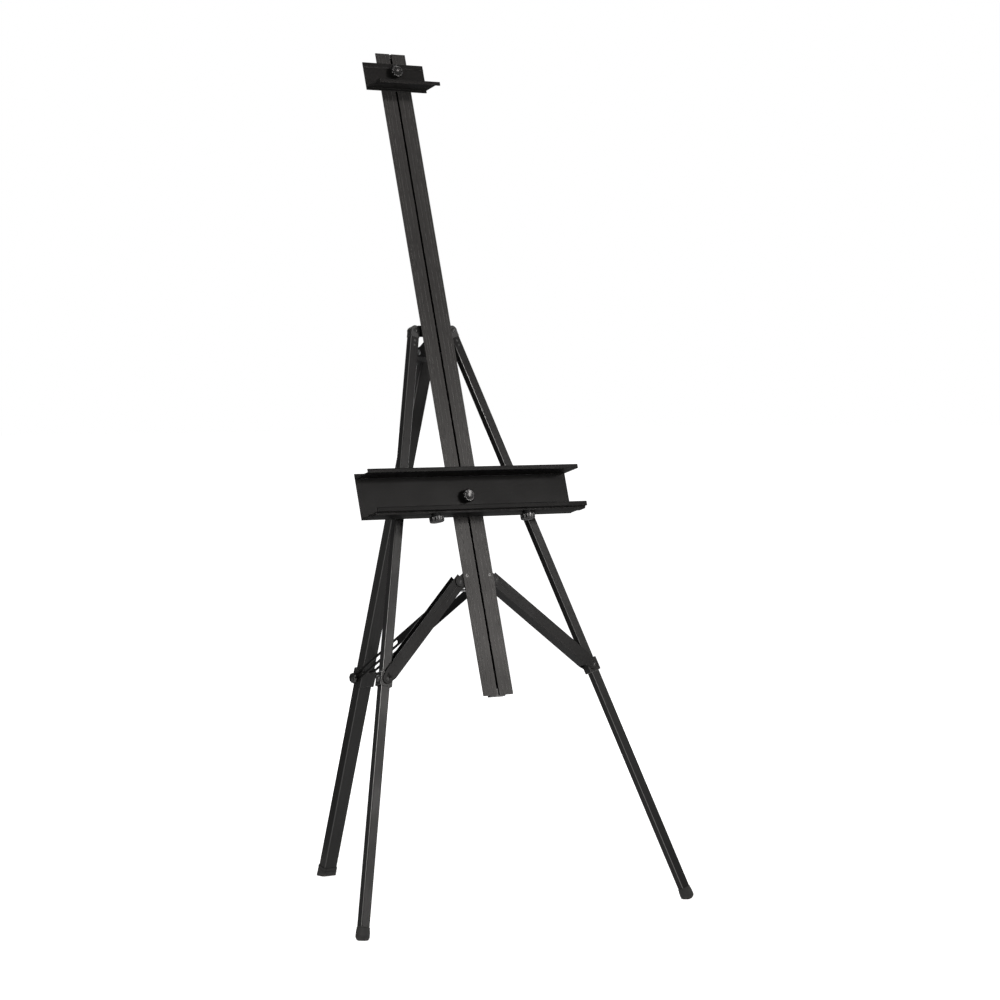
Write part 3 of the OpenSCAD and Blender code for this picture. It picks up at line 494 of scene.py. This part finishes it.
# Outline of a knob outside its bore: radius and height as shares of the knob's own, and the
# depth of its flutes as a share of the radius.
GRIP = [
    (0.60, 0.0, 0.0), (0.63, 0.03, 0.0), (0.63, 0.22, 0.0), (0.66, 0.27, 0.0),
    (0.86, 0.30, 0.03), (0.95, 0.34, 0.08), (0.995, 0.41, 0.13), (1.0, 0.50, 0.14),
    (1.0, 0.80, 0.14), (0.985, 0.88, 0.13), (0.94, 0.945, 0.11), (0.87, 0.98, 0.06),
    (0.80, 0.998, 0.02), (0.72, 0.998, 0.0), (0.69, 0.985, 0.0), (0.66, 0.975, 0.0),
    (0.30, 0.972, 0.0), (0.27, 0.965, 0.0), (0.12, 0.962, 0.0),
]
BORE_DEPTH = 0.78
POINTS_PER_FLUTE = 14
# A knob above this radius has the wide bore.
LARGE_KNOB = 0.008
WIDE_BORE, NARROW_BORE = 0.00455, 0.0032


def fluted(r, z, depth, flutes):
    points = []
    count = flutes * POINTS_PER_FLUTE
    for i in range(count):
        a = TAU * i / count
        wave = 0.5 + 0.5 * math.cos(flutes * a)
        rr = r - depth * wave ** 2
        points.append((rr * math.cos(a), rr * math.sin(a), z))
    return points


def knob(name, node, joint, body, flutes):
    """Moulded knob: collar, scalloped grip with round edges, dished face with a raised ring."""
    pos, up = place(joint), axis(joint)
    offsets = [v.co - pos for v in nodes[node].data.vertices]
    height = max(offset.dot(up) for offset in offsets)
    r = max((offset - up * offset.dot(up)).length for offset in offsets)
    bore = WIDE_BORE if r > LARGE_KNOB else NARROW_BORE
    profile = [(bore, BORE_DEPTH * height, 0.0), (bore, 0.0, 0.0)]
    profile += [(radius * r, z * height, depth) for radius, z, depth in GRIP]
    bm = bmesh.new()
    rings = [fluted(radius, z, depth * r, flutes) for radius, z, depth in profile]
    loft(bm, rings, basis(pos, up, ACROSS if abs(up.dot(ACROSS)) < 0.9 else ALONG))
    piece(name, bm, body, "knob_plastic", node, KNOB_CREASE)


knob("tray_clamp_grip", "tray_knob", "tray_knob_turn", "tray_knob_body", 10)
knob("holder_clamp_grip", "holder_knob", "holder_knob_turn", "top_knob", 10)
knob("left_ledge_grip", "ledge_knob_left", "ledge_left_knob_turn", "ledge_left_knob", 10)
knob("right_ledge_grip", "ledge_knob_right", "ledge_right_knob_turn", "ledge_right_knob", 10)
knob("rear_lock_grip", "rear_lock_knob", "rear_lock_turn", "rear_lock", 8)


# ---------------------------------------------------------------- rubber feet

# Height above the floor of the point where each foot's own axes start.
FLOOR_GAP = 0.011

# Front tip: radius and height of each ring down its side, then the ball of its sole.
TIP_SIDE = [
    (0.0127, 0.0135), (0.0131, 0.0132), (0.0132, 0.0126), (0.0132, 0.0112), (0.0128, 0.0107),
    (0.0128, 0.0100), (0.0134, 0.0094), (0.0138, 0.0050), (0.0140, 0.0020), (0.0140, -0.0040),
]
SOLE_R, SOLE_IN, SOLE_Z, SOLE_STEPS = 0.009, 0.005, -0.004, 10
SOLE_FLAT = (0.0025, SOLE_Z - SOLE_R)

# Rear block: width, depth and corner radius, then inset and height of each ring down its side.
BLOCK = (0.036, 0.028, 0.006)
BLOCK_SIDE = [
    (0.0006, 0.0110), (0.0001, 0.0105), (0.0, 0.0095), (0.0, 0.0052), (0.0004, 0.0048),
    (0.0013, 0.0045), (0.0013, 0.0036), (0.0004, 0.0033), (0.0, 0.0029), (0.0, -0.0110),
    (0.0, -0.0200),
]

# How far the edges of the rear block are softened.
BLOCK_SOFT = 0.0006

# Width, depth and corner radius of the socket round each tube, and the height where it ends.
FRONT_SOCKET, FRONT_SOCKET_END = (0.0205, 0.0161, 0.002), 0.004
REAR_SOCKET, REAR_SOCKET_END = (0.0321, 0.0241, 0.003), 0.002


def cut_level(bm, height):
    """Cuts a mesh level with the floor and closes the cut."""
    everything = bm.verts[:] + bm.edges[:] + bm.faces[:]
    cut = bmesh.ops.bisect_plane(bm, geom=everything, dist=1e-7, plane_co=(0, 0, height),
                                 plane_no=(0, 0, 1), clear_inner=True)
    rim = [e for e in cut["geom_cut"] if isinstance(e, bmesh.types.BMEdge)]
    bmesh.ops.contextual_create(bm, geom=rim)


def foot(name, node, leg, socket, end, outside):
    """Rubber foot: a socket round the tube, moulded sides, and a sole cut level with the floor."""
    pivot, down = place(leg + "_fold"), DOWN[leg]
    middle = pivot - down * ((pivot.z - FLOOR_GAP) / down.z)
    mouth = outside[0][0][2]
    inside = [rounded(*socket, z) for z in (end, 0.5 * (end + mouth), mouth)]
    bm = bmesh.new()
    loft(bm, inside + outside, basis(middle, -down, ACROSS))
    cut_level(bm, cad_low.z)
    return piece(name, bm, leg, "rubber", node, FOOT_CREASE)


tip = [circle(r, z) for r, z in TIP_SIDE]
for step in range(1, SOLE_STEPS + 1):
    a = step * TAU / 4 / SOLE_STEPS
    tip.append(circle(SOLE_IN + SOLE_R * math.cos(a), SOLE_Z - SOLE_R * math.sin(a)))
tip.append(circle(*SOLE_FLAT))
for side in ("left", "right"):
    foot(side + "_rubber_tip", side + "_foot", side + "_leg", FRONT_SOCKET, FRONT_SOCKET_END, tip)

width, depth, corner = BLOCK
block = [rounded(width - 2 * inset, depth - 2 * inset, corner - inset, z)
         for inset, z in BLOCK_SIDE]
rear = foot("rear_rubber_block", "rear_foot", "rear_leg", REAR_SOCKET, REAR_SOCKET_END, block)
soften(rear, BLOCK_SOFT)


# ---------------------------------------------------------------- floor, light, camera

# The floor's half width, and how far it lies below the lowest piece.
FLOOR_REACH, FLOOR_DROP = 40.0, 0.0002
# How light the paper is, and how much of that the light that bounces off it keeps.
PAPER, BOUNCE = 0.80, 0.56


def stage_floor():
    """White paper that glows to the camera, and is dark behind the easel in reflections."""
    bm = bmesh.new()
    bmesh.ops.create_grid(bm, x_segments=8, y_segments=8, size=FLOOR_REACH)
    mesh = bpy.data.meshes.new("floor")
    bm.to_mesh(mesh)
    bm.free()
    floor = bpy.data.objects.new("floor", mesh)
    floor.location = (0, 0, cad_low.z - FLOOR_DROP)
    bpy.context.scene.collection.objects.link(floor)
    g = Graph("floor_paper")
    tone = g.vary(g.noise(g.position, scale=3.0, detail=3.0, roughness=0.5), 0.97, 1.0)
    reach = g.add("ShaderNodeVectorMath", {0: g.position}, operation="LENGTH").outputs["Value"]
    behind = g.add("ShaderNodeSeparateXYZ", {0: g.position}).outputs[1]
    path = g.add("ShaderNodeLightPath")
    seen, mirrored = path.outputs["Is Camera Ray"], path.outputs["Is Glossy Ray"]
    flag = g.math("MULTIPLY", mirrored, g.span(behind, 0.3, 0.9, 1.0, 0.1))
    glow = g.math("ADD", g.math("MULTIPLY", g.span(reach, 0.9, 2.4, 0.80, 1.05), seen),
                  g.math("MULTIPLY", flag, 0.3))
    bounced = g.math("SUBTRACT", 1.0, g.math("MAXIMUM", seen, mirrored))
    share = g.math("ADD", g.math("MULTIPLY", bounced, BOUNCE), g.math("MAXIMUM", seen, flag))
    paper = g.tint(rgb(PAPER), g.math("MULTIPLY", tone, share))
    floor.data.materials.append(g.finish(**{
        "Base Color": paper, "Roughness": 0.85, "Specular IOR Level": 0.1,
        "Emission Color": (1, 1, 1, 1), "Emission Strength": glow}))


NEUTRAL = (1, 1, 1)
WARM = (1, 0.97, 0.95)
# Each soft light: place, what it points at, width and height, power in watts, colour.
LIGHTS = {
    "key": ((2.1, -2.8, 2.1), (0, 0, 0.7), (0.9, 0.6), 17, WARM),
    "low": ((1.7, -2.95, 1.35), (-0.2, 0, 0.4), (0.5, 0.8), 18, WARM),
    "high": ((2.15, -2.65, 3.6), (0, 0, 1.7), (1.0, 0.3), 7, (1, 0.93, 0.91)),
    "near": ((-1.7, -3.9, 2.0), (0, 0, 0.9), (0.7, 1.3), 6, NEUTRAL),
    "side": ((-3.3, -2.4, 1.0), (0, 0, 0.6), (1.0, 1.6), 12, (1, 0.98, 0.96)),
    "shoulder": ((-2.8, -1.8, 2.2), (-0.2, -0.2, 0.5), (0.9, 1.2), 60, (1, 0.98, 0.96)),
    "window": ((-1.9, 3.0, 0.8), (0, 0, 0.5), (1.4, 1.6), 2, NEUTRAL),
    "top": ((0.2, -0.4, 3.8), (0, 0, 0.8), (2.0, 2.0), 10, NEUTRAL),
    "back": ((1.4, 4.0, 2.4), (0, 0, 0.9), (2.6, 2.4), 42, NEUTRAL),
    "right": ((3.9, 1.0, 1.7), (0, 0, 0.8), (2.2, 2.2), 34, NEUTRAL),
}
# Strength of the white surroundings, as the camera sees them and as they light the easel.
SKY_SEEN, SKY_LIT = 1.0, 0.14
LENS, SENSOR, CLIP_END = 120.33, 36.0, 60
CAMERA_PLACE = (-4.0963, -5.57865, 1.1053)
CAMERA_AZIMUTH, CAMERA_PITCH = math.radians(-37.604), math.radians(-2.327)
CAMERA_SHIFT = (-0.0005, 0.0005)


def soft_light(name, location, target, size, power, colour):
    data = bpy.data.lights.new(name, "AREA")
    data.shape = "RECTANGLE"
    data.size, data.size_y = size
    data.energy = power
    data.color = colour
    light = bpy.data.objects.new(name, data)
    light.location = location
    aim = (Vector(target) - Vector(location)).normalized()
    light.rotation_euler = aim.to_track_quat("-Z", "Y").to_euler()
    bpy.context.scene.collection.objects.link(light)


def surroundings():
    world = bpy.data.worlds.new("studio")
    bpy.context.scene.world = world
    world.use_nodes = True
    tree = world.node_tree
    tree.nodes.clear()
    path = tree.nodes.new("ShaderNodeLightPath")
    mix = tree.nodes.new("ShaderNodeMixShader")
    output = tree.nodes.new("ShaderNodeOutputWorld")
    tree.links.new(path.outputs["Is Camera Ray"], mix.inputs[0])
    for socket, strength in ((1, SKY_LIT), (2, SKY_SEEN)):
        sky = tree.nodes.new("ShaderNodeBackground")
        sky.inputs["Strength"].default_value = strength
        sky.inputs["Color"].default_value = (1, 1, 1, 1)
        tree.links.new(sky.outputs[0], mix.inputs[socket])
    tree.links.new(mix.outputs[0], output.inputs[0])


def camera():
    data = bpy.data.cameras.new("camera")
    data.sensor_width = SENSOR
    data.lens = LENS
    data.clip_end = CLIP_END
    data.shift_x, data.shift_y = CAMERA_SHIFT
    cam = bpy.data.objects.new("camera", data)
    cam.location = CAMERA_PLACE
    level = math.cos(CAMERA_PITCH)
    aim = Vector((-math.sin(CAMERA_AZIMUTH) * level, math.cos(CAMERA_AZIMUTH) * level,
                  math.sin(CAMERA_PITCH)))
    cam.rotation_euler = aim.to_track_quat("-Z", "Y").to_euler()
    bpy.context.scene.collection.objects.link(cam)
    bpy.context.scene.camera = cam


stage_floor()
surroundings()
for name, settings in LIGHTS.items():
    soft_light(name, *settings)
bpy.context.scene.view_settings.view_transform = "Standard"
camera()
